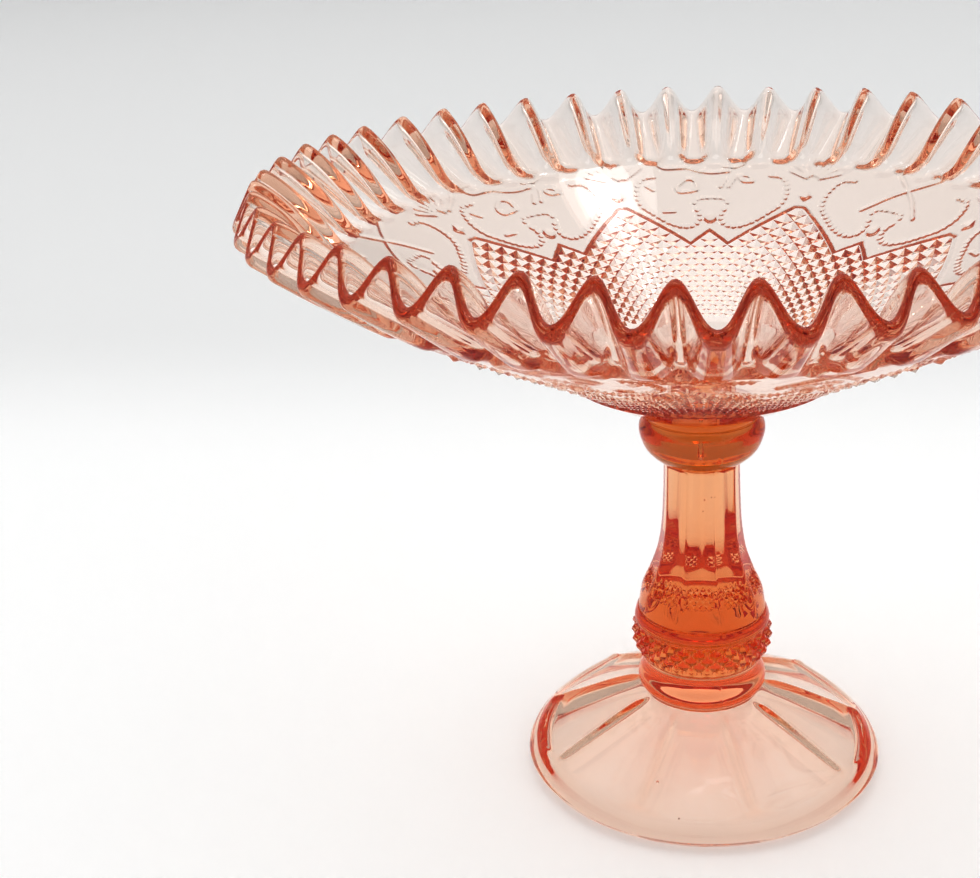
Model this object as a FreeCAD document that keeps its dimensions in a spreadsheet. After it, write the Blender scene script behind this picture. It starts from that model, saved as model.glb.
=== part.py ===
import FreeCAD, Part
import math
import os

import Sketcher
from FreeCAD import Placement, Rotation, Vector

# Pressed pink glass candy dish on a pedestal, in millimetres.
# +Z is up. The origin is the centre of the ring that the foot rests on.

DOC = FreeCAD.newDocument("candy_dish")
SHEET = DOC.addObject("Spreadsheet::Sheet", "sizes")

# Driving dimensions. Heights are above the table, radii are from the vertical axis.
SIZES = {
    # foot: outside, then the hollow under it
    "foot_radius": 50.5,
    "foot_edge_height": 4.0,
    "foot_shoulder_radius": 47.5,
    "foot_shoulder_height": 7.3,
    "foot_dome_radius": 250.0,
    "foot_top_height": 22.6,
    "foot_ring_radius": 16.4,
    "foot_ring_top": 33.5,
    "foot_rest_radius": 47.0,
    "foot_rest_width": 2.5,
    "foot_hollow_radius": 43.5,
    "foot_hollow_shoulder": 4.0,
    "foot_hollow_top_radius": 12.0,
    "foot_hollow_top": 18.0,
    # knop with its cut band
    "knop_waist_radius": 16.6,
    "knop_lip_height": 1.6,
    "knop_belly_radius": 10.5,
    "knop_shoulder_radius": 17.8,
    "knop_top": 48.0,
    # panelled stem
    "stem_foot_radius": 17.4,
    "stem_bell_radius": 15.0,
    "stem_bell_height": 57.5,
    "stem_throat_radius": 12.2,
    "stem_throat_height": 66.0,
    "stem_waist_radius": 10.9,
    "stem_waist_height": 79.0,
    "stem_top_radius": 10.6,
    "stem_top": 92.5,
    # collar, and the wafer of glass that welds the bowl to it
    "collar_foot_radius": 10.9,
    "collar_bulge_radius": 9.4,
    "collar_top_radius": 15.6,
    "collar_top": 106.0,
    "wafer_radius": 15.8,
    "wafer_height": 2.0,
    # bowl and its crimped rim
    "bowl_base_radius": 17.0,
    "bowl_wall_slope": 0.545,
    "bowl_wall": 4.4,
    "fold_start_radius": 92.0,
    "rim_radius": 116.1,
    "rim_height": 169.9,
    "rim_wall": 3.0,
    "crimp_count": 46,
    "crimp_lift": 4.8,
    "crimp_reach": 2.3,
}

STEM_PANELS = 9
POINTS_PER_CRIMP = 6

for row, (alias, value) in enumerate(SIZES.items(), start=1):
    SHEET.set(f"A{row}", alias)
    SHEET.set(f"B{row}", str(value))
    SHEET.setAlias(f"B{row}", alias)
DOC.recompute()


def size(alias):
    """The value of one cell of the sheet."""
    return float(SHEET.get(alias))


def evaluate(expression):
    """The value of an expression in the sheet's cells."""
    return float(SHEET.evalExpression(expression.replace("sizes.", "")))


def cells(*aliases):
    """The expressions that name the given cells; plain numbers and sums stay as they are."""
    return tuple(f"sizes.{a}" if a in SIZES else a for a in aliases)


# ---- sketches ----

def origin_feature(body, role):
    """One of a body's own origin planes or axes, found by its role."""
    return next(f for f in body.Origin.OriginFeatures if f.Role == role)


def new_body(name):
    body = DOC.addObject("PartDesign::Body", name)
    body.Label = name
    body.Placement = Placement(Vector(0, 0, 0), Rotation())
    return body


def new_sketch(body, name, plane):
    sketch = body.newObject("Sketcher::SketchObject", name)
    sketch.AttachmentSupport = [(origin_feature(body, plane), "")]
    sketch.MapMode = "FlatFace"
    return sketch


def side_shape(start, end, radius, hollow):
    """A straight side, or an arc that bows out of the solid, or into it if the side is hollow."""
    if radius is None:
        return Part.LineSegment(start, end)
    chord = end - start
    sag = radius - math.sqrt(radius ** 2 - (chord.Length / 2) ** 2)
    outward = Vector(chord.y, -chord.x, 0).normalize()
    bow = -sag if hollow else sag
    return Part.Arc(start, (start + end) * 0.5 + outward * bow, end)


def nearest_ends(sketch, side, following):
    """The pair of end numbers at which two sides meet."""
    pairs = [(a, b) for a in (1, 2) for b in (1, 2)]

    def gap(pair):
        return (sketch.getPoint(side, pair[0]) - sketch.getPoint(following, pair[1])).Length

    return min(pairs, key=gap)


def bind(sketch, kind, expression, *where):
    """Add a dimension to a sketch and bind it to the sheet."""
    constraint = Sketcher.Constraint(kind, *where, evaluate(expression))
    index = sketch.addConstraint(constraint)
    sketch.setExpression(f"Constraints[{index}]", expression)


def draw_outline(sketch, corners, arcs=None, hollow=()):
    """Draw a closed outline anticlockwise, with its corners and arc radii bound to the sheet.

    A corner is a pair of expressions. arcs maps a side's number to its radius, and hollow
    lists the numbers of the arcs that bow into the solid.
    """
    arcs = arcs or {}
    points = [Vector(evaluate(x), evaluate(y), 0) for x, y in corners]
    count = len(points)
    for i, start in enumerate(points):
        radius = evaluate(arcs[i]) if i in arcs else None
        side = side_shape(start, points[(i + 1) % count], radius, i in hollow)
        sketch.addGeometry(side, False)
    meetings = [nearest_ends(sketch, i, (i + 1) % count) for i in range(count)]
    for i, (end, start) in enumerate(meetings):
        following = (i + 1) % count
        sketch.addConstraint(Sketcher.Constraint("Coincident", i, end, following, start))
    for i, (x, y) in enumerate(corners):
        start = meetings[i - 1][1]
        for kind, axis, expression in (("DistanceX", -2, x), ("DistanceY", -1, y)):
            if abs(evaluate(expression)) < 1e-9:
                on_axis = Sketcher.Constraint("PointOnObject", i, start, axis)
                sketch.addConstraint(on_axis)
            else:
                bind(sketch, kind, expression, -1, 1, i, start)
    for side, radius in arcs.items():
        bind(sketch, "Radius", radius, side)


def turned_body(name, corners, arcs=None, hollow=()):
    """A body of revolution from a half section in the XZ plane."""
    body = new_body(name)
    sketch = new_sketch(body, f"{name}_section", "XZ_Plane")
    draw_outline(sketch, corners, arcs, hollow)
    turn = body.newObject("PartDesign::Revolution", f"{name}_turn")
    turn.Profile = sketch
    turn.ReferenceAxis = (origin_feature(body, "Z_Axis"), [""])
    turn.Angle = 360
    sketch.Visibility = False
    return body


# ---- pedestal ----

def domed_foot():
    """Low hollow dome that rests on a ring, with the round neck ring above it."""
    corners = [
        cells("foot_hollow_top_radius", "foot_hollow_top"),
        cells("foot_hollow_radius", "foot_hollow_shoulder"),
        cells("sizes.foot_rest_radius - sizes.foot_rest_width", "0"),
        cells("foot_rest_radius", "0"),
        cells("foot_radius", "foot_edge_height"),
        cells("foot_shoulder_radius", "foot_shoulder_height"),
        cells("foot_ring_radius", "foot_top_height"),
        cells("foot_ring_radius", "foot_ring_top"),
        cells("0", "foot_ring_top"),
        cells("0", "foot_hollow_top"),
    ]
    arcs = {
        0: "sizes.foot_dome_radius",
        3: "sizes.foot_edge_height * 1.3",
        4: "sizes.foot_edge_height * 1.2",
        5: "sizes.foot_dome_radius",
        6: "sizes.foot_ring_top - sizes.foot_top_height",
    }
    return turned_body("domed_foot", corners, arcs, hollow=(0,))


def diamond_knop():
    """Squat belly that carries the cut band, with a plain lip at its waist."""
    corners = [
        cells("0", "foot_ring_top"),
        cells("knop_waist_radius", "foot_ring_top"),
        cells("knop_waist_radius", "sizes.foot_ring_top + sizes.knop_lip_height"),
        cells("knop_shoulder_radius", "knop_top"),
        cells("0", "knop_top"),
    ]
    return turned_body("diamond_knop", corners, {2: "sizes.knop_belly_radius"})


def panelled_stem():
    """Flat panels, one of which faces -Y, that flare into a bell at the foot of the stem."""
    body = new_body("panelled_stem")
    levels = (
        ("stem_foot_radius", "knop_top"),
        ("stem_bell_radius", "stem_bell_height"),
        ("stem_throat_radius", "stem_throat_height"),
        ("stem_waist_radius", "stem_waist_height"),
        ("stem_top_radius", "stem_top"),
    )
    sketches = []
    for radius, height in levels:
        sketch = new_sketch(body, f"panels_at_{height}", "XY_Plane")
        sketch.setExpression("AttachmentOffset.Base.z", f"sizes.{height}")
        corners = []
        for i in range(STEM_PANELS):
            turn = 360 * (i + 0.5) / STEM_PANELS - 90
            across = f"sizes.{radius} * cos({turn} deg)"
            along = f"sizes.{radius} * sin({turn} deg)"
            corners.append((across, along))
        draw_outline(sketch, corners)
        sketch.Visibility = False
        sketches.append(sketch)
    loft = body.newObject("PartDesign::AdditiveLoft", "panelled_stem_loft")
    loft.Profile = sketches[0]
    loft.Sections = sketches[1:]
    loft.Ruled = False
    return body


def collar_ring():
    """Plain rounded ring between the stem and the bowl."""
    corners = [
        cells("0", "stem_top"),
        cells("collar_foot_radius", "stem_top"),
        cells("collar_top_radius", "collar_top"),
        cells("0", "collar_top"),
    ]
    return turned_body("collar_ring", corners, {1: "sizes.collar_bulge_radius"})


def joining_wafer():
    """Disc of hot glass that welds the bowl to the pedestal."""
    wafer = DOC.addObject("Part::Cylinder", "joining_wafer")
    wafer.Label = "joining_wafer"
    wafer.setExpression("Radius", "sizes.wafer_radius")
    wafer.setExpression("Height", "sizes.wafer_height")
    wafer.setExpression("Placement.Base.z", "sizes.collar_top")
    return wafer


# ---- bowl ----

def bowl():
    """Pressed bowl: a shallow cone of glass of one thickness, up to where the rim is folded."""
    floor = "sizes.collar_top + sizes.wafer_height"
    run = "(sizes.fold_start_radius - sizes.bowl_base_radius)"
    fold_height = f"{floor} + sizes.bowl_wall_slope * {run}"
    corners = [
        cells("0", floor),
        cells("bowl_base_radius", floor),
        cells("fold_start_radius", fold_height),
        cells("sizes.fold_start_radius - sizes.bowl_wall / 2", f"{fold_height} + sizes.bowl_wall"),
        cells("sizes.bowl_base_radius - sizes.bowl_wall / 2", f"{floor} + sizes.bowl_wall"),
        cells("0", f"{floor} + sizes.bowl_wall"),
    ]
    return turned_body("bowl", corners)


def crimped_ring(radius, height, reach=0.0, lift=0.0):
    """A closed curve about the axis that waves once for each crimp of the rim."""
    crimps = int(size("crimp_count"))
    count = crimps * POINTS_PER_CRIMP
    poles = []
    for i in range(count):
        turn = 2 * math.pi * i / count
        wave = math.cos(crimps * turn)
        out = radius - reach * wave
        poles.append(Vector(out * math.cos(turn), out * math.sin(turn), height + lift * wave))
    curve = Part.BSplineCurve()
    curve.buildFromPolesMultsKnots(poles, [1] * (count + 1), range(count + 1), True, 3)
    return Part.Wire(curve.toShape())


def crimped_rim():
    """The top of the bowl's wall, folded into crimps that lean in and out by turns."""
    fold = size("fold_start_radius")
    run = fold - size("bowl_base_radius")
    fold_height = size("collar_top") + size("wafer_height") + size("bowl_wall_slope") * run
    rim, rim_height = size("rim_radius"), size("rim_height")
    reach, lift = size("crimp_reach"), size("crimp_lift")
    wall, rim_wall = size("bowl_wall"), size("rim_wall")
    middle = (fold + rim) / 2
    middle_height = (fold_height + rim_height) / 2 - rim_wall
    rings = [
        crimped_ring(fold, fold_height),
        crimped_ring(middle, middle_height, reach / 2, lift / 2),
        crimped_ring(rim, rim_height - rim_wall / 2, reach, lift),
        crimped_ring(rim - rim_wall / 2, rim_height + rim_wall / 2, reach, lift),
        crimped_ring(middle - rim_wall, middle_height + rim_wall, reach / 2, lift / 2),
        crimped_ring(fold - wall / 2, fold_height + wall),
    ]
    feature = DOC.addObject("Part::Feature", "crimped_rim")
    feature.Label = "crimped_rim"
    feature.Shape = Part.makeLoft(rings, True, True, True)
    feature.Placement = Placement(Vector(0, 0, 0), Rotation())
    return feature


# ---- build, check and write ----

def check(part):
    """Stop if an object of the document failed or a sub-part has no sound solid."""
    for item in DOC.Objects:
        if {"Invalid", "Error"} & set(item.State):
            raise RuntimeError(f"{item.Name} did not recompute: {item.State}")
    if part.Shape.isNull() or not part.Shape.isValid() or not part.Shape.Solids:
        raise RuntimeError(f"{part.Label} has no valid solid")


PARTS = [
    domed_foot(),
    diamond_knop(),
    panelled_stem(),
    collar_ring(),
    joining_wafer(),
    bowl(),
    crimped_rim(),
]
DOC.recompute()
os.makedirs("parts", exist_ok=True)
for part in PARTS:
    check(part)
for part in PARTS:
    box = part.Shape.BoundBox
    part.Shape.exportStep(f"parts/{part.Label}.step")
    print(f"{part.Label}: {part.Shape.Volume / 1000:.1f} cm3, z {box.ZMin:.2f} to {box.ZMax:.2f},"
          f" width {box.XLength:.2f}")
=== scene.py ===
import math

import bpy
import numpy as np
from mathutils import Matrix, Vector


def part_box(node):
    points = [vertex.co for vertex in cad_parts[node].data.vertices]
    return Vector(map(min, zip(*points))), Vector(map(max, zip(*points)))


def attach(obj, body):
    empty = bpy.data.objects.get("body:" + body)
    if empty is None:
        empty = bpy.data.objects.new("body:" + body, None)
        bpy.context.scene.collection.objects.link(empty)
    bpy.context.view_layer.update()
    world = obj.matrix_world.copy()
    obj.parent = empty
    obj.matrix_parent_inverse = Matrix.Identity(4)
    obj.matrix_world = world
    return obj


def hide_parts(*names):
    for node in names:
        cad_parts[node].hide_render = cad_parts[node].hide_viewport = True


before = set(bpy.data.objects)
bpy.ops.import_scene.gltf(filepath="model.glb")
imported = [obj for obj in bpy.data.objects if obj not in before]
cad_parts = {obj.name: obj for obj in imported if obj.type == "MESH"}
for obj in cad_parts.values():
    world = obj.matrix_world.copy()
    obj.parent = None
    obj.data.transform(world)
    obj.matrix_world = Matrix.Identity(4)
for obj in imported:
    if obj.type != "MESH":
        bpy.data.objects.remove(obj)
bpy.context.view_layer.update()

MM = 0.001


# ---- sizes, in millimetres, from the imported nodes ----

def level(node, end):
    """Lowest (0) or highest (1) height of a node, in millimetres."""
    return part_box(node)[end][2] / MM


FOOT_TOP = level("domed_foot", 1)
KNOP_TOP = level("diamond_knop", 1)
STEM_TOP = level("panelled_stem", 1)
COLLAR_TOP = level("collar_ring", 1)
WAFER_TOP = level("joining_wafer", 1)

PANELS = 9
# The middle of the front panel faces this way, and so does the first column of every mesh.
PANEL_TURN = math.radians(-92)
# Between a piece of glass and the next.
GAP = 0.01


# ---- mesh building ----

def around(columns):
    """Angles of the columns of a mesh that closes on itself around the axis."""
    return PANEL_TURN + np.arange(columns) * 2 * math.pi / columns


def ring(radius, height, columns):
    """A row of points about the axis. The radius and the height may change around it."""
    turn = around(columns)
    radius = np.broadcast_to(radius, columns)
    height = np.broadcast_to(height, columns)
    return np.stack([radius * np.cos(turn), radius * np.sin(turn), height], axis=1)


def band_faces(a, low, b, high, lean):
    """Faces between a row of low points starting at a and a row of high points starting at b."""
    if low == 1:
        return [(a, b + (i + 1) % high, b + i) for i in range(high)]
    if high == 1:
        return [(a + i, a + (i + 1) % low, b) for i in range(low)]
    if high > low and lean is not None:
        return fanned_cells(a, low, b, high, lean)
    if high > low:
        k = high // low
        return [(a + i, a + (i + 1) % low, *[b + (i * k + s) % high for s in range(k, -1, -1)])
                for i in range(low)]
    if low > high:
        k = low // high
        return [(*[a + (i * k + s) % low for s in range(k + 1)], b + (i + 1) % high, b + i)
                for i in range(high)]
    faces = []
    for i in range(low):
        j = (i + 1) % low
        if lean is None:
            faces.append((a + i, a + j, b + j, b + i))
        elif lean[i]:
            faces += [(a + i, a + j, b + j), (a + i, b + j, b + i)]
        else:
            faces += [(a + i, a + j, b + i), (a + j, b + j, b + i)]
    return faces


def fanned_cells(a, low, b, high, lean):
    """Four-sided cells with extra points along their upper edge, split from corner to corner."""
    k = high // low
    faces = []
    for i in range(low):
        left, right = a + i, a + (i + 1) % low
        upper = [b + (i * k + s) % high for s in range(k + 1)]
        pivot, far = (left, upper[-1]) if lean[i] else (right, upper[0])
        faces.append((left, right, far))
        faces += [(pivot, upper[s + 1], upper[s]) for s in range(k)]
    return faces


def bubble_shell(centre, size, sides=14, bands=8):
    """An oval of air: points and faces that look inwards."""
    rows = []
    for lift in np.linspace(-math.pi / 2, math.pi / 2, bands + 1)[1:-1]:
        turn = np.arange(sides) * 2 * math.pi / sides
        rows.append(np.stack([np.cos(turn) * math.cos(lift), np.sin(turn) * math.cos(lift),
                              np.full(sides, math.sin(lift))], axis=1))
    points = np.vstack([[[0, 0, -1]], *rows, [[0, 0, 1]]])
    faces = [(0, 1 + i, 1 + (i + 1) % sides) for i in range(sides)]
    for row in range(len(rows) - 1):
        a = 1 + row * sides
        faces += [(a + i, a + sides + i, a + sides + (i + 1) % sides, a + (i + 1) % sides)
                  for i in range(sides)]
    top = len(points) - 1
    a = top - sides
    faces += [(a + i, top, a + (i + 1) % sides) for i in range(sides)]
    return points * size + centre, faces


def mark_facets(mesh, faceted):
    """Make every edge of the faceted faces sharp and leave the rest smooth."""
    mesh.polygons.foreach_set("use_smooth", np.ones(len(faceted), dtype=bool))
    corners = np.empty(len(mesh.polygons), dtype=np.int32)
    mesh.polygons.foreach_get("loop_total", corners)
    edges = np.empty(len(mesh.loops), dtype=np.int32)
    mesh.loops.foreach_get("edge_index", edges)
    sharp = np.zeros(len(mesh.edges), dtype=bool)
    sharp[edges[np.repeat(faceted, corners)]] = True
    mesh.attributes.new("sharp_edge", "BOOLEAN", "EDGE").data.foreach_set("value", sharp)


def skin(name, rows, material, lean=None, flat=None, weld=None, bubbles=()):
    """Join rows of points into a closed mesh, with a point on the axis at either end.

    A row may hold a whole multiple of its neighbour's columns. lean maps a band to the way its
    four-sided faces are split, flat maps a band to which of them are faceted, and weld says
    which bands touch the next piece of glass.
    """
    points = [np.array([[0, 0, rows[0][0, 2]]]), *rows, np.array([[0, 0, rows[-1][0, 2]]])]
    starts = np.cumsum([0] + [len(r) for r in points])
    faces = []
    faceted = []
    welded = []
    for band in range(len(points) - 1):
        low, high = len(points[band]), len(points[band + 1])
        split = lean.get(band) if lean else None
        made = band_faces(starts[band], low, starts[band + 1], high, split)
        faces += made
        mark = flat.get(band) if flat else None
        if mark is None:
            faceted += [False] * len(made)
        else:
            faceted += np.repeat(mark, len(made) // len(mark)).tolist()
        welded += [1.0 if weld and weld(band) else 0.0] * len(made)
    points = np.vstack(points)
    for centre, size in bubbles:
        more, loops = bubble_shell(np.array(centre), np.array(size))
        faces += [tuple(k + len(points) for k in loop) for loop in loops]
        points = np.vstack([points, more])
        faceted += [False] * len(loops)
        welded += [0.0] * len(loops)
    mesh = bpy.data.meshes.new(name)
    mesh.from_pydata((points * MM).tolist(), [], faces)
    mark_facets(mesh, np.array(faceted))
    mesh.attributes.new("weld", "FLOAT", "FACE").data.foreach_set("value", welded)
    mesh.materials.append(material)
    mesh.update()
    piece = bpy.data.objects.new(name, mesh)
    bpy.context.collection.objects.link(piece)
    # The lamps' light goes through the glass to the floor.
    piece.visible_shadow = False
    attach(piece, "root")
    return piece


def curve_through(knots, steps):
    """A smooth run of points through the knots, the same number of steps between each two."""
    knots = np.array(knots, float)
    out = []
    padded = np.vstack([2 * knots[0] - knots[1], knots, 2 * knots[-1] - knots[-2]])
    for i in range(len(knots) - 1):
        p0, p1, p2, p3 = padded[i:i + 4]
        for s in np.arange(steps) / steps:
            out.append(0.5 * (2 * p1 + (p2 - p0) * s + (2 * p0 - 5 * p1 + 4 * p2 - p3) * s ** 2
                              + (3 * p1 - p0 - 3 * p2 + p3) * s ** 3))
    out.append(knots[-1])
    return np.array(out)


# ---- glass ----

GLASS_INDEX = 1.5
AIR_INDEX = 1.0


def map_range(nodes, start, end, low, high):
    """A node that turns the values from start to end into values from low to high."""
    node = nodes.new("ShaderNodeMapRange")
    for label, value in (("From Min", start), ("From Max", end), ("To Min", low), ("To Max", high)):
        node.inputs[label].default_value = value
    return node


def pink_glass(name, colour, density):
    """Clear glass that takes its colour from the light it absorbs on the way through.

    Where two pieces of glass touch, their faces bend and mirror no light.
    """
    material = bpy.data.materials.new(name)
    material.use_nodes = True
    nodes, links = material.node_tree.nodes, material.node_tree.links
    nodes.clear()
    out = nodes.new("ShaderNodeOutputMaterial")
    shader = nodes.new("ShaderNodeBsdfPrincipled")
    shader.inputs["Base Color"].default_value = (1, 1, 1, 1)
    shader.inputs["Transmission Weight"].default_value = 1.0
    shader.inputs["Roughness"].default_value = 0.0
    volume = nodes.new("ShaderNodeVolumeAbsorption")
    volume.inputs["Color"].default_value = (*colour, 1)
    volume.inputs["Density"].default_value = density
    touch = nodes.new("ShaderNodeAttribute")
    touch.attribute_name = "weld"
    index = map_range(nodes, 0, 1, GLASS_INDEX, AIR_INDEX)
    links.new(touch.outputs["Fac"], index.inputs["Value"])
    links.new(index.outputs["Result"], shader.inputs["IOR"])
    links.new(shader.outputs["BSDF"], out.inputs["Surface"])
    links.new(volume.outputs["Volume"], out.inputs["Volume"])
    return material


# One pink glass in four depths: the foot's, the bowl's, the stem's, and that of the thickest pieces.
PALE_GLASS = pink_glass("pink_glass_pale", (0.95, 0.42, 0.02), 40.0)
BOWL_GLASS = pink_glass("pink_glass", (0.88, 0.5, 0.25), 62.0)
STEM_GLASS = pink_glass("pink_glass_stem", (0.94, 0.62, 0.3), 90.0)
DEEP_GLASS = pink_glass("pink_glass_deep", (0.92, 0.52, 0.0), 105.0)


# ---- forms that the turned pieces share ----

COLUMNS = 216
SEAMS = 3
SEAM = 0.15
# Rings inside a flat end, as shares of its radius.
CAP_SHARES = (0.34, 0.67)
CAP_BANDS = len(CAP_SHARES) + 1


def polygon_radius(columns, sides, sharp=60.0):
    """How far a rounded regular polygon of unit inner radius reaches, all round."""
    turn = around(columns) - PANEL_TURN
    faces = np.arange(sides) * 2 * math.pi / sides
    near = np.maximum(0, np.cos(turn[:, None] - faces[None, :]))
    return 1 / np.sum(near ** sharp, axis=1) ** (1 / sharp)


def from_panel(columns):
    """Angle of each column from the middle of its panel."""
    step = 2 * math.pi / PANELS
    turn = around(columns) - PANEL_TURN
    return (turn + step / 2) % step - step / 2


def mould_seam(columns):
    """How far the seams of the mould stand out at each column. They run between panels."""
    height = np.zeros(columns)
    for k in range(SEAMS):
        height[int(round(columns * (1 / (2 * PANELS) + k / SEAMS))) % columns] = SEAM
    return height


def cut_diamond(across, up):
    """Share of a cut pyramid's height at a place given in its half widths: 0 in the grooves."""
    def hill(value):
        return 1 - np.abs(value % 2 - 1)

    return np.minimum(hill(across + up), hill(across - up))


def diamond_lean(across, up):
    """Which way to split the four-sided faces so that their edges follow the grooves."""
    tiny = 1e-6
    return (np.floor(across + tiny) + math.floor(up + tiny)) % 2 == 0


def seamed(radius, height):
    """The shape of a round piece with the seams of the mould, the same at every height."""
    return radius + mould_seam(COLUMNS)


def turned(name, outline, glass=None, shape=None, lean=None, flat=None, bubbles=()):
    """A piece turned about the axis from an outline that runs from its foot to its top."""
    rows = []
    base, top = outline[0], outline[-1]
    for share in CAP_SHARES:
        rows.append(ring(base[0] * share, base[1], COLUMNS))
    for radius, height in outline:
        rows.append(ring(shape(radius, height) if shape else radius, height, COLUMNS))
    for share in CAP_SHARES[::-1]:
        rows.append(ring(top[0] * share, top[1], COLUMNS))
    last = len(rows)

    def weld(band):
        return band < CAP_BANDS or band > last - CAP_BANDS

    return skin(name, rows, glass or DEEP_GLASS, weld=weld, lean=lean, flat=flat, bubbles=bubbles)


# ---- pedestal ----

# Outlines run through points of radius and height: the middle of a panel, the round edge that
# cuts the panels off, the hollow, the rolled edge that the foot stands on, and the neck.
FOOT_COLUMNS = 432
DOME = [(16, 22.7), (20, 20.9), (25, 18.6), (33, 14.3), (40, 10.6), (44, 8.9), (47.5, 7.2), (52, 2)]
ROUND_EDGE = [(40, 15.4), (44, 11.7), (45, 10.5), (46, 9.2), (47.5, 7.3), (48.5, 6.3), (49.6, 4.9),
              (52, 0)]
HOLLOW = [(4, 18.6), (9, 18.3), (14, 17.2), (24, 13.4), (33, 9.3), (40, 5.9), (43, 4.3), (44.4, 2.2)]
ROLLED_EDGE = [(44.8, 1.2), (45.4, 0.2), (46.2, 0), (47, 0.1), (48.2, 0.8), (49.4, 1.9), (50.2, 3.2)]
NECK_RADIUS = 16.4
NECK = [(15.9, 22.8), (17.2, 23.9), (18.0, 25.5), (17.9, 27.5), (16.9, 29.8), (16.2, 31.6),
        (NECK_RADIUS, FOOT_TOP)]
# Where the rows of the dome lie: close together on its edge, further apart on its slope.
DOME_RADII = [50.4, 50.2, 49.8, 49.3, 48.7, 48, 47.3, 46.6, 46, 45.4, 44.8, 44.2, 43.4, 42.4, 41,
              39, 36.5, 34, 31, 28, 25, 23, 21, 19.5, 18.4, 17.4, NECK_RADIUS]
# 1 would make the panels flat, and more makes them a little hollow.
PANEL_DEPTH = 1.5
PANEL_FADE = 5.0
EDGE_START = 40.0
EDGE_SOFT = 0.25
RIB_HEIGHT = 0.6
RIB_HALF = 1.3
RIB_END = 47.0
RIB_FADE = 3.0


def dome_height(radius, dome, edge):
    """Height of the foot's outside all round: panels that meet in fine ribs, cut off by the edge."""
    off = from_panel(FOOT_COLUMNS)
    from_rib = (math.pi / PANELS - np.abs(off)) * radius
    facet = np.clip((radius - NECK_RADIUS) / PANEL_FADE, 0, 1)
    height = np.interp(radius * (1 - PANEL_DEPTH * facet * (1 - np.cos(off))), dome[:, 0], dome[:, 1])
    if radius > EDGE_START:
        round_height = np.interp(radius, edge[:, 0], edge[:, 1])
        over = height - round_height
        height = round_height + (over - np.sqrt(over ** 2 + EDGE_SOFT ** 2)) / 2
    rib = RIB_HEIGHT * facet * np.clip((RIB_END - radius) / RIB_FADE, 0, 1)
    return height + rib * np.exp(-(from_rib / RIB_HALF) ** 2)


def domed_foot():
    """The hollow foot: from the axis down the hollow, round the edge and up to the neck's top."""
    rows = []
    for radius, height in [*curve_through(HOLLOW, 5), *ROLLED_EDGE]:
        rows.append(ring(radius, height, FOOT_COLUMNS))
    dome = curve_through(DOME, 8)
    edge = curve_through(ROUND_EDGE, 8)
    seam = mould_seam(FOOT_COLUMNS)
    for radius in DOME_RADII:
        rows.append(ring(radius, dome_height(radius, dome, edge) + seam, FOOT_COLUMNS))
    for radius, height in curve_through(NECK, 4):
        rows.append(ring(radius + seam, height, FOOT_COLUMNS))
    for share in CAP_SHARES[::-1]:
        rows.append(ring(NECK_RADIUS * share, FOOT_TOP, FOOT_COLUMNS))
    last = len(rows)
    seeds = [((-12, -34, 10.5), (0.4, 0.4, 0.35)), ((-6, -44, 6.0), (0.2, 0.2, 0.2))]
    piece = skin("domed_foot_glass", rows, PALE_GLASS, weld=lambda band: band > last - CAP_BANDS,
                 bubbles=seeds)
    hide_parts("domed_foot")


# The band of cut diamonds. Steps and cells are half a diamond high and wide.
BAND_LOW = 36.2
BAND_STEP = 1.85
BAND_STEPS = 4
BAND_CELLS = 54
BAND_RADIUS = 18.4
BAND_BELLY = 0.45
DIAMOND_HEIGHT = 1.0


def diamond_knop():
    """The belly with the band of cut diamonds between two plain collars."""
    turn = np.arange(COLUMNS) * BAND_CELLS / COLUMNS
    outline = [(NECK_RADIUS, FOOT_TOP + GAP), (17.3, FOOT_TOP + 0.4), (17.7, FOOT_TOP + 1.2)]
    first = len(outline)
    outline.append((17.9, BAND_LOW))
    for step in np.arange(1, 2 * BAND_STEPS + 1) / 2:
        belly = BAND_BELLY * math.sin(math.pi * step / BAND_STEPS)
        outline.append((BAND_RADIUS + belly, BAND_LOW + BAND_STEP * step))
    top = curve_through([(18.5, 44.3), (18.9, 44.9), (18.6, 46.4), (17.8, KNOP_TOP)], 3)
    outline += [tuple(place) for place in top]

    def shape(radius, height):
        up = (height - BAND_LOW) / BAND_STEP
        if 0 <= up <= BAND_STEPS:
            return radius + DIAMOND_HEIGHT * cut_diamond(turn, up)
        return seamed(radius, height)

    lean, flat = {}, {}
    for step in range(2 * BAND_STEPS):
        band = first + CAP_BANDS + step
        lean[band] = diamond_lean(turn, step / 2)
        flat[band] = [True]
    piece = turned("diamond_knop_glass", outline, shape=shape, lean=lean, flat=flat)
    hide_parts("diamond_knop")


# The blocks of small diamonds at the foot of each panel, in halves of their diamonds.
BLOCK_LOW = 54.6
BLOCK_STEP = 1.1
BLOCK_STEPS = 4
BLOCK_CELLS = 108
BLOCK_HALF = 4
BLOCK_RELIEF = 0.45
BLOCK_SUNK = 0.15
# The stem is round at its foot and nine-sided from this far above it.
STEM_ROUND = 8.0
# The plain rows keep this far from the first and the last row of the blocks.
CLEAR_BELOW = 0.2
CLEAR_ABOVE = 0.3


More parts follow.
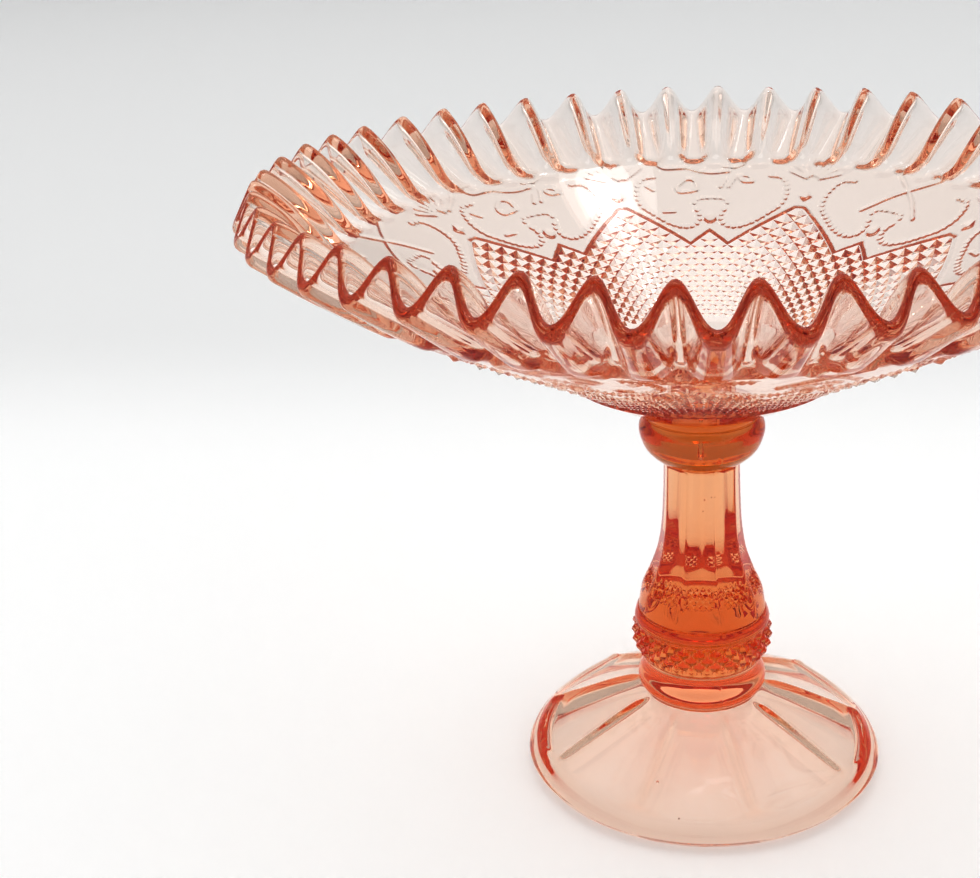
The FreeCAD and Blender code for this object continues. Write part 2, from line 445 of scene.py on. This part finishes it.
def panelled_stem():
    """The flared stem with its flat panels."""
    edge = polygon_radius(COLUMNS, PANELS)
    turn = np.arange(COLUMNS) * BLOCK_CELLS / COLUMNS
    half_panel = BLOCK_CELLS / PANELS / 2
    half_face = BLOCK_CELLS / COLUMNS / 2
    from_middle = (turn + half_panel) % (2 * half_panel) - half_panel
    in_block = np.abs(from_middle) <= BLOCK_HALF

    def shape(radius, height):
        share = np.clip((height - KNOP_TOP) / STEM_ROUND, 0, 1)
        out = radius * (1 + (edge - edge.mean()) * share) + mould_seam(COLUMNS)
        up = (height - BLOCK_LOW) / BLOCK_STEP
        if 0 <= up <= BLOCK_STEPS:
            out = out + np.where(in_block, BLOCK_RELIEF * cut_diamond(turn, up) - BLOCK_SUNK, 0)
        return out

    bell = curve_through([(17.8, KNOP_TOP + GAP), (16.9, 52.3), (15.6, 55.5), (14.2, 58.6),
                          (12.1, 64.8), (11.0, 71.0), (10.5, 77.1), (10.2, 85), (10.05, STEM_TOP)], 8)
    outline = [place for place in bell if place[1] < BLOCK_LOW - CLEAR_BELOW]
    first = len(outline)
    for step in np.arange(2 * BLOCK_STEPS + 1) / 2:
        height = BLOCK_LOW + BLOCK_STEP * step
        outline.append((np.interp(height, bell[:, 1], bell[:, 0]), height))
    block_high = outline[-1][1]
    outline += [place for place in bell if place[1] > block_high + CLEAR_ABOVE]
    lean, flat = {}, {}
    for step in range(2 * BLOCK_STEPS):
        band = first + CAP_BANDS + step
        lean[band] = diamond_lean(turn, step / 2)
        flat[band] = np.abs(from_middle + half_face) <= BLOCK_HALF
    seeds = [((0.8, -7.2, 84), (0.25, 0.25, 0.3)), ((2.6, -6.8, 84.6), (0.18, 0.18, 0.2)),
             ((0.4, -6.0, 80.2), (0.15, 0.15, 0.2))]
    piece = turned("panelled_stem_glass", outline, glass=STEM_GLASS, shape=shape, lean=lean, flat=flat,
                   bubbles=seeds)
    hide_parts("panelled_stem")


COLLAR_RADIUS = 15.6


def collar_ring():
    """The plain ring under the bowl, with a tear-shaped bubble."""
    outline = curve_through([(10.1, STEM_TOP + GAP), (12.4, 94.0), (15.2, 96.8), (16.7, 100.4),
                             (16.9, 103.0), (16.0, 105.2), (COLLAR_RADIUS, COLLAR_TOP)], 6)
    tear = [((-0.2, -11, 100.2), (0.7, 0.7, 1.9))]
    piece = turned("collar_ring_glass", outline, shape=seamed, bubbles=tear)
    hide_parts("collar_ring")


def joining_wafer():
    """The disc of glass that welds the bowl to the pedestal."""
    outline = [(COLLAR_RADIUS, COLLAR_TOP + GAP), (15.7, COLLAR_TOP + 1), (16, WAFER_TOP)]
    piece = turned("joining_wafer_glass", outline)
    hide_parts("joining_wafer")


# ---- bowl ----

# The plain wall is a cone, with WALL_HALF of glass on either side of its middle. The outside of
# the wall has FINE columns where it is worked, and the plain parts have CELLS.
BASE_RADIUS = 17.0
BASE_RISE = 2.2
WALL_SLOPE = 0.545
WALL_LEAN = math.atan(WALL_SLOPE)
WALL_HALF = 1.93
RIM_HALF = 1.75
FINE = 864
CELLS = 144

# The crimps. The spreads are those of their random differences in phase and in height.
CRIMPS = 46
CRIMP_TURN = math.radians(90) - 0.727
FOLD_RADIUS = 94.0
EDGE_RADIUS = 117.2
FOLD_HEIGHT = 9.6
FRONT_EXTRA = 0.04
PHASE_SPREAD = 0.07
HEIGHT_SPREAD = 0.02
SCOOP_DEPTH = 1.1
SCOOP_START = 0.10
SCOOP_FADE = 0.14
# The rim sags out of level by these shares of its radius.
SAG_FRONT = 0.018
SAG_SIDE = 0.006
random = np.random.default_rng(46)


def crimp_drift():
    """Small differences between the crimps, smooth all round: in phase and in height."""
    turn = around(FINE)
    place = np.zeros(FINE)
    tall = np.zeros(FINE)
    for wave in range(3, 15):
        place += random.normal(0, PHASE_SPREAD) * np.sin(wave * turn + random.uniform(0, 7))
        tall += random.normal(0, HEIGHT_SPREAD) * np.sin(wave * turn + random.uniform(0, 7))
    return place, tall


DRIFT, TALL = crimp_drift()


def wall(nominal, side, columns, relief=0.0):
    """One row of the bowl's wall: side 1 is the inside and -1 the outside.

    Past the fold radius the cone rises into narrow ridges between wide scoops. Relief stands
    out from the surface.
    """
    pick = slice(None, None, FINE // columns)
    turn = around(columns)
    share = np.clip((nominal - FOLD_RADIUS) / (EDGE_RADIUS - FOLD_RADIUS), 0, 1)
    half = WALL_HALF + (RIM_HALF - WALL_HALF) * share
    ridge = (1 + np.cos(CRIMPS * (turn - CRIMP_TURN) + DRIFT[pick])) / 2
    # A higher power makes the ridges narrower, and they widen towards the edge.
    narrow = 1.9 - 0.85 * share if side > 0 else 2.6 - 1.1 * share
    grow = 1 - (1 - share) ** 1.7
    front = 1 + FRONT_EXTRA * np.clip(-np.sin(turn), 0, 1)
    lift = FOLD_HEIGHT * grow * front * (1 + TALL[pick]) * ridge ** narrow
    enter = np.clip((share - SCOOP_START * ridge) / SCOOP_FADE, 0, 1)
    scoop = SCOOP_DEPTH * enter ** 2 * (3 - 2 * enter) * (1 - share ** 2) * (1 - ridge ** 2)
    out = side * (half + relief) + lift - scoop
    radius = nominal - math.sin(WALL_LEAN) * out
    tilt = -SAG_FRONT * radius * np.sin(turn) - SAG_SIDE * radius * np.cos(turn)
    height = (WAFER_TOP + BASE_RISE + WALL_SLOPE * (nominal - BASE_RADIUS)
              + math.cos(WALL_LEAN) * out + tilt * share)
    return ring(radius, height, columns)


# The cut star. Its cells are half a pyramid wide and grow in proportion to the radius. Its outline
# zigzags: out to a small tip, in to a valley, out to a large tip that is cut off.
CELL_GROWTH = 0.0383
VALLEY_RADIUS = 62.0
VALLEY_CELL = 2
SECTOR_CELLS = CELLS // PANELS
STAR_INNER = -14
STAR_OUTER = 6
TIP_CUT = 5.5
PYRAMID = 0.0245
BEVEL = 0.7
SUNK_RADII = (62, 75, 90)
SUNK_DEPTHS = (1.4, 0.7, 0.5)


def star_radius(step):
    """Radius of a place this many cells out from the valleys."""
    return VALLEY_RADIUS * math.exp(CELL_GROWTH * step)


def star_place(nominal, columns):
    """Cells across from the nearest small tip, and cells out from the valleys."""
    across = np.arange(columns) * CELLS / columns % SECTOR_CELLS - SECTOR_CELLS / 2
    out = math.log(nominal / VALLEY_RADIUS) / CELL_GROWTH
    return across, out


def star_relief(nominal, columns):
    """Rows of small pyramids, sunk behind a sloping edge, and which columns lie in the star."""
    across, out = star_place(nominal, columns)
    sunk = np.interp(nominal, SUNK_RADII, SUNK_DEPTHS)
    beyond = np.maximum(out - np.abs(np.abs(across) - VALLEY_CELL), out - TIP_CUT)
    pyramid = cut_diamond(across, out) * PYRAMID * nominal - sunk
    edge = np.minimum(0, sunk * (beyond / BEVEL - 1))
    return np.where(beyond > 0, edge, pyramid), beyond <= 0


# Ornament between star and rim. Places in millimetres: across from the line through a small
# tip, and out from the axis. The scroll and the bracket are mirrored in that line.
ORNAMENT_INNER = 66.0
ORNAMENT_OUTER = 98.0
REPEATS = 3
SCROLL = [(18, 88), (21, 87), (22.5, 84.5), (22.8, 81), (22, 78), (20, 75.2), (16.5, 73), (13.5, 71.2),
          (10.5, 69.9), (7.5, 69.4), (5, 70), (3.4, 71.8), (3.2, 74.2), (4.4, 76.8)]
BRACKET = [(5, 78.6), (3.8, 80.4), (0, 80.8)]
TWIG = [(-5.4, 91.2), (0, 90.8), (4.3, 91.4), (8.4, 92.6), (14.5, 91.8), (18, 93.6)]
SHORT_TWIG = [(-9.6, 93.6), (-6.5, 92.6), (-3.4, 93.2)]
LEAF = [(4.5, 83.8), (4.9, 87), (7.4, 88.2), (9.5, 86.4), (10.6, 84.6), (9.8, 82.8), (7.4, 83),
        (4.5, 83.8)]
BUD = [(-12.6, 86.4), (-11.4, 88.6), (-8.6, 89.2), (-9.6, 86.8), (-12.6, 86.4)]
SPRIGS = [[(-7.3, 89.2), (-5.1, 84.9)], [(-4.6, 88.4), (-2.6, 84.9)], [(22.3, 91.2), (26.6, 85.5)],
          [(20, 84), (17.6, 82.6)], [(10.8, 75), (14, 74.6)]]
CROSSED = [[(-9, 79), (-3.4, 86), (6, 94)], [(9, 79), (2, 87), (-8, 94)]]
LINE_HALF = 0.7
LINE_HEIGHT = 0.4
DOT_OUT = 73.0
DOT_RADIUS = 1.9
DOT_HEIGHT = 0.9
STUD_OUT = 82.5
STUD_HALF = 2.4
STUD_HEIGHT = 1.2
FAN_OUT = 88.5
FAN_ROOT = 2.2
FAN_WIDE = 8.5
FAN_LONG = 7.5
FAN_SPREAD = 66.0
FAN_RAYS = 8


def stroke(across, out, knots, half, height, beads=0.0):
    """A raised line through the knots, plain or with a bead every so many millimetres."""
    line = curve_through(knots, 6)
    start, step = line[:-1], np.diff(line, axis=0)
    length = np.linalg.norm(step, axis=1)
    run = np.concatenate([[0], np.cumsum(length)[:-1]])
    place = np.stack([across, out], axis=-1)[..., None, :] - start
    share = np.clip((place * step).sum(-1) / length ** 2, 0, 1)
    miss = np.linalg.norm(place - share[..., None] * step, axis=-1)
    nearest = miss.argmin(-1)
    far = np.take_along_axis(miss, nearest[..., None], -1)[..., 0]
    along = run[nearest] + np.take_along_axis(share, nearest[..., None], -1)[..., 0] * length[nearest]
    rise = height * np.clip(1 - (far / half) ** 2, 0, 1)
    if beads:
        rise *= 0.6 + 0.4 * np.cos(2 * math.pi * along / beads)
    return rise


def sector_ornament(across, out, crossed):
    """The ornament over a small tip of the star: where crossed, its twigs cross."""
    rise = np.maximum(stroke(np.abs(across), out, SCROLL, 0.85, 0.6, beads=1.8),
                      stroke(np.abs(across), out, BRACKET, 0.75, 0.45, beads=1.6))
    dot = np.clip(1 - (across ** 2 + (out - DOT_OUT) ** 2) / DOT_RADIUS ** 2, 0, 1)
    rise = np.maximum(rise, DOT_HEIGHT * np.sqrt(dot))
    for knots in (TWIG, SHORT_TWIG, LEAF, BUD, *SPRIGS):
        line = stroke(across, out, knots, LINE_HALF, LINE_HEIGHT)
        rise = np.maximum(rise, np.where(crossed, 0, line))
    for knots in CROSSED:
        line = stroke(across, out, knots, LINE_HALF, 0.45)
        rise = np.maximum(rise, np.where(crossed, line, 0))
    return rise


def stud_and_fan(across, out):
    """A pointed stud over a large tip of the star, and a fan of rays over the stud."""
    rise = STUD_HEIGHT * np.clip(1 - (np.abs(across) + np.abs(out - STUD_OUT)) / STUD_HALF, 0, 1)
    for ray in np.radians(np.linspace(-FAN_SPREAD, FAN_SPREAD, FAN_RAYS)):
        tip = (FAN_WIDE * math.sin(ray), FAN_OUT + FAN_LONG * math.cos(ray))
        root = (FAN_ROOT * math.sin(ray), FAN_OUT + FAN_ROOT * math.cos(ray))
        rise = np.maximum(rise, stroke(across, out, [root, tip], 0.55, LINE_HEIGHT))
    return rise


def ornament(nominal):
    """Height of the raised ornament along a fine row. It repeats after a third of the way."""
    turn = np.arange(FINE // REPEATS) * 2 * math.pi / FINE
    sector = 2 * math.pi / PANELS
    from_small = turn % sector - sector / 2
    from_large = (turn + sector / 2) % sector - sector / 2
    crossed = turn // sector == 0
    rise = np.maximum(
        sector_ornament(nominal * np.sin(from_small), nominal * np.cos(from_small), crossed),
        stud_and_fan(nominal * np.sin(from_large), nominal * np.cos(from_large)))
    return np.tile(rise, REPEATS)


FLAT_RADII = (5, 10, 15.9)
BASE_CURVE = [(16.5, WAFER_TOP + 0.1), (BASE_RADIUS, WAFER_TOP + 0.35)]
BOWL_FLOOR = [(BASE_RADIUS, 114.6), (10, 113.4), (4, 113.1)]
FINE_STEP = 1 / 6
FOLDS = FOLD_RADIUS + (EDGE_RADIUS - FOLD_RADIUS) * np.linspace(0, 1, 16)


def rim_edge():
    """Rows of the round edge between the outside and the inside of the wall."""
    low, high = wall(EDGE_RADIUS, -1, FINE), wall(EDGE_RADIUS, 1, FINE)
    away = low - wall(EDGE_RADIUS - 0.5, -1, FINE)
    away += high - wall(EDGE_RADIUS - 0.5, 1, FINE)
    away /= np.linalg.norm(away, axis=1, keepdims=True)
    rows = []
    for angle in np.radians((-60, -30, 0, 30, 60)):
        middle = (low + high) / 2 + (high - low) / 2 * math.sin(angle)
        rows.append(middle + away * RIM_HALF * math.cos(angle))
    return rows


def bowl():
    """The bowl with its crimped rim, from the axis up the outside and down the inside."""
    rows, lean, flat = [], {}, {}
    for radius in FLAT_RADII:
        rows.append(ring(radius, WAFER_TOP + GAP, CELLS))
    for radius, height in BASE_CURVE:
        rows.append(ring(radius, height, CELLS))
    for radius in np.linspace(BASE_RADIUS + 2, star_radius(STAR_INNER) - 1, 9):
        rows.append(wall(radius, -1, CELLS))
    for step in range(STAR_INNER, 0):
        radius = star_radius(step)
        relief, _ = star_relief(radius, CELLS)
        if step == STAR_INNER:
            relief = np.minimum(relief, 0)
        rows.append(wall(radius, -1, CELLS, relief))
        band = len(rows)
        lean[band] = (np.arange(CELLS) + step) % 2 == 0
        flat[band] = [True]
        flat[band - 1] = [True]
    last_step = math.log(FOLD_RADIUS / VALLEY_RADIUS) / CELL_GROWTH
    across, _ = star_place(VALLEY_RADIUS, FINE)
    for step in np.arange(0, last_step, FINE_STEP):
        radius = star_radius(step)
        relief, _ = star_relief(radius, FINE)
        if radius > ORNAMENT_INNER:
            relief = relief + ornament(radius)
        rows.append(wall(radius, -1, FINE, relief))
        if step < STAR_OUTER:
            band = len(rows)
            lean[band] = diamond_lean(across, step)
            _, flat[band] = star_relief(radius * math.exp(CELL_GROWTH * FINE_STEP / 2), FINE)
    for radius in FOLDS:
        relief = ornament(radius) if radius < ORNAMENT_OUTER else 0
        rows.append(wall(radius, -1, FINE, relief))
    rows += rim_edge()
    for radius in FOLDS[::-1]:
        rows.append(wall(radius, 1, FINE))
    for radius in np.linspace(FOLD_RADIUS - 1, BASE_RADIUS + 5, 22):
        rows.append(wall(radius, 1, CELLS))
    for radius, height in curve_through(BOWL_FLOOR, 3):
        rows.append(ring(radius, height, CELLS))
    piece = skin("crimped_bowl_glass", rows, BOWL_GLASS, lean=lean, flat=flat,
                 weld=lambda band: band < len(FLAT_RADII))
    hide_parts("bowl", "crimped_rim")


domed_foot()
diamond_knop()
panelled_stem()
collar_ring()
joining_wafer()
bowl()


# ---- studio, in metres ----

SWEEP_SIDES = 96
SWEEP_RADIUS = 2.4
SWEEP_CURVE = 0.5
SWEEP_HEIGHT = 1.5
# The four concentric lamps overhead make a bright spot with a soft halo.
OVERHEAD = (0.152, 0.483)
BOWL_BACK = (0, 0.1, 0.1)
LAMPS = [
    # name, place, aim, width and power in watts
    ("overhead", (*OVERHEAD, 1.1), BOWL_BACK, 0.03, 0.036),
    ("halo", (*OVERHEAD, 1.11), BOWL_BACK, 0.06, 0.045),
    ("wide_halo", (*OVERHEAD, 1.12), BOWL_BACK, 0.11, 0.075),
    ("widest_halo", (*OVERHEAD, 1.13), BOWL_BACK, 0.18, 0.1),
    ("backdrop", (0, -0.3, 1.3), (0, 0.9, 0), 0.5, 1.3),
]


def paper():
    """White paper with painted shade that greys it a little towards the back, and a faint painted glow
    all over.
    """
    material = bpy.data.materials.new("paper")
    material.use_nodes = True
    nodes, links = material.node_tree.nodes, material.node_tree.links
    shader = nodes["Principled BSDF"]
    place = nodes.new("ShaderNodeNewGeometry")
    split = nodes.new("ShaderNodeSeparateXYZ")
    # Painted shade: the paper's colour darkens from the floor towards the wall at the back, where less
    # light falls.
    painted_back_shade = map_range(nodes, 0.2, 0.4, 0.91, 0.79)
    painted_back_shade.interpolation_type = "SMOOTHSTEP"
    links.new(place.outputs["Position"], split.inputs["Vector"])
    links.new(split.outputs["Y"], painted_back_shade.inputs["Value"])
    links.new(painted_back_shade.outputs["Result"], shader.inputs["Base Color"])
    shader.inputs["Roughness"].default_value = 0.9
    # Painted light: the paper glows faintly all over, which lightens its shadows.
    shader.inputs["Emission Color"].default_value = (0.98, 1, 1, 1)
    shader.inputs["Emission Strength"].default_value = 0.1
    return material


def sweep():
    """A round floor of paper that curves up into a low wall all round."""
    profile = [(0.5, 0), (1.2, 0), (SWEEP_RADIUS, 0)]
    for angle in np.linspace(0, math.pi / 2, 9)[1:]:
        profile.append((SWEEP_RADIUS + SWEEP_CURVE * math.sin(angle),
                        SWEEP_CURVE - SWEEP_CURVE * math.cos(angle)))
    profile.append((SWEEP_RADIUS + SWEEP_CURVE, SWEEP_HEIGHT))
    turn = np.arange(SWEEP_SIDES) * 2 * math.pi / SWEEP_SIDES
    points = [(0, 0, 0)]
    for radius, height in profile:
        points += [(radius * math.cos(t), radius * math.sin(t), height) for t in turn]
    faces = [(0, 1 + i, 1 + (i + 1) % SWEEP_SIDES) for i in range(SWEEP_SIDES)]
    for band in range(len(profile) - 1):
        a = 1 + SWEEP_SIDES * band
        b = a + SWEEP_SIDES
        faces += [(a + i, b + i, b + (i + 1) % SWEEP_SIDES, a + (i + 1) % SWEEP_SIDES)
                  for i in range(SWEEP_SIDES)]
    mesh = bpy.data.meshes.new("sweep")
    mesh.from_pydata(points, [], faces)
    mesh.polygons.foreach_set("use_smooth", np.ones(len(faces), dtype=bool))
    mesh.materials.append(paper())
    floor = bpy.data.objects.new("sweep", mesh)
    bpy.context.collection.objects.link(floor)


def lamp(name, place, aim, width, power):
    """A round area lamp."""
    light = bpy.data.lights.new(name, "AREA")
    light.shape = "DISK"
    light.size = width
    light.energy = power
    holder = bpy.data.objects.new(name, light)
    holder.location = place
    holder.rotation_euler = (Vector(aim) - Vector(place)).to_track_quat("-Z", "Y").to_euler()
    bpy.context.collection.objects.link(holder)


def studio_light():
    """A white room: bright overhead, dimmer at the sides, dim behind the camera."""
    world = bpy.data.worlds.new("studio")
    world.use_nodes = True
    nodes, links = world.node_tree.nodes, world.node_tree.links
    place = nodes.new("ShaderNodeTexCoord")
    split = nodes.new("ShaderNodeSeparateXYZ")
    height = map_range(nodes, 0, 1, 0.32, 1.5)
    depth = map_range(nodes, -0.9, 0.3, 0.32, 1)
    both = nodes.new("ShaderNodeMath")
    both.operation = "MULTIPLY"
    links.new(place.outputs["Generated"], split.inputs["Vector"])
    links.new(split.outputs["Z"], height.inputs["Value"])
    links.new(split.outputs["Y"], depth.inputs["Value"])
    links.new(height.outputs["Result"], both.inputs[0])
    links.new(depth.outputs["Result"], both.inputs[1])
    links.new(both.outputs["Value"], nodes["Background"].inputs["Strength"])
    nodes["Background"].inputs["Color"].default_value = (1, 1, 1, 1)
    bpy.context.scene.world = world


# The angles are in degrees, the sensor's width and the focal length in millimetres.
CAMERA_PLACE = (0, -0.4017, 0.2645)
CAMERA_YAW = 8.19
CAMERA_PITCH = 22.27
CAMERA_ROLL = -3.11
SENSOR_WIDTH = 36
FOCAL_LENGTH = 58.481633


def camera():
    """A camera that looks a little to the left and down on the dish, tilted a little."""
    yaw, pitch, roll = (math.radians(angle) for angle in (CAMERA_YAW, CAMERA_PITCH, CAMERA_ROLL))
    right = Vector((math.cos(yaw), math.sin(yaw), 0))
    ahead = Vector((-math.sin(yaw), math.cos(yaw), 0))
    up = Vector((0, 0, 1))
    view = ahead * math.cos(pitch) - up * math.sin(pitch)
    over = up * math.cos(pitch) + ahead * math.sin(pitch)
    right, over = (right * math.cos(roll) + over * math.sin(roll),
                   over * math.cos(roll) - right * math.sin(roll))
    data = bpy.data.cameras.new("camera")
    data.sensor_width = SENSOR_WIDTH
    data.lens = FOCAL_LENGTH
    data.clip_end = 20
    holder = bpy.data.objects.new("camera", data)
    pose = Matrix((right, over, -view)).transposed().to_4x4()
    pose.translation = Vector(CAMERA_PLACE)
    holder.matrix_world = pose
    bpy.context.collection.objects.link(holder)
    bpy.context.scene.camera = holder


GAMMA = 0.7
GLASS_BOUNCES = 32
PAPER_BOUNCES = 8

sweep()
studio_light()
for values in LAMPS:
    lamp(*values)
camera()
scene = bpy.context.scene
scene.view_settings.view_transform = "Standard"
scene.view_settings.gamma = GAMMA
scene.cycles.max_bounces = GLASS_BOUNCES
scene.cycles.transmission_bounces = GLASS_BOUNCES
scene.cycles.glossy_bounces = GLASS_BOUNCES
scene.cycles.diffuse_bounces = PAPER_BOUNCES
